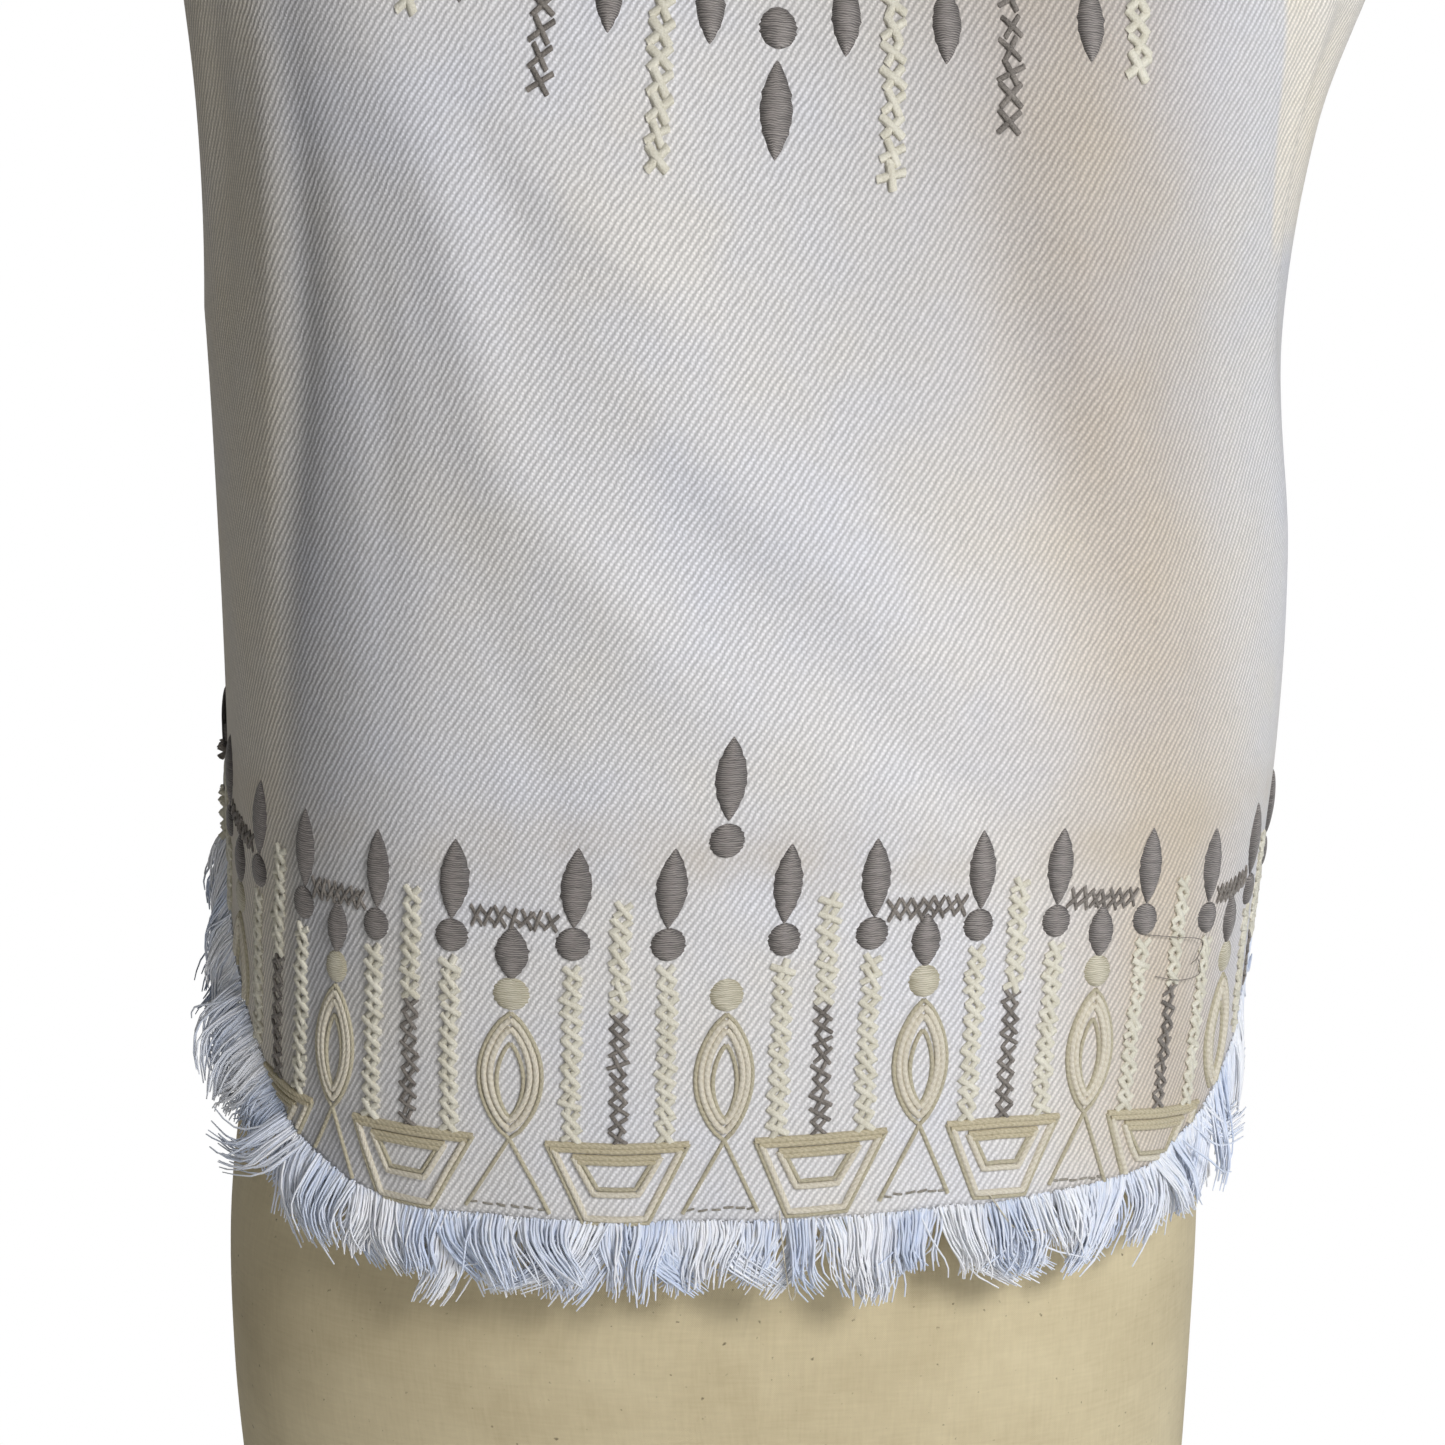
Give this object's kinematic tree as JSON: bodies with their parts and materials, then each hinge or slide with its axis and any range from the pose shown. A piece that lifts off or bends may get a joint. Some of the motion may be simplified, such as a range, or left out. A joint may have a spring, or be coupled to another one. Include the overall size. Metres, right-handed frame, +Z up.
{
  "type": "embroidered sleeveless crop top on a limbless dress form",
  "caption": "Boxy sleeveless crop top of white twill with embroidered bands and a frayed, vented hem, on a smooth linen covered dress form.",
  "frame": {"origin": "centre of the dress form's flat base", "axes": "+Z up, the garment's front faces -Y, +X to the viewer's right"},
  "size_m": [0.3663, 0.2551, 0.735],
  "materials": {
    "twill": "white cotton twill, matte, with embroidery",
    "frayed_cotton": "loose cotton threads, matte",
    "linen": "unbleached linen cover, stretched smooth"
  },
  "bodies": {
    "root": {"front_panel": "twill", "back_panel": "twill", "fringe_front": "frayed_cotton", "fringe_back": "frayed_cotton", "dress_form": "linen"}
  },
  "joints": []
}
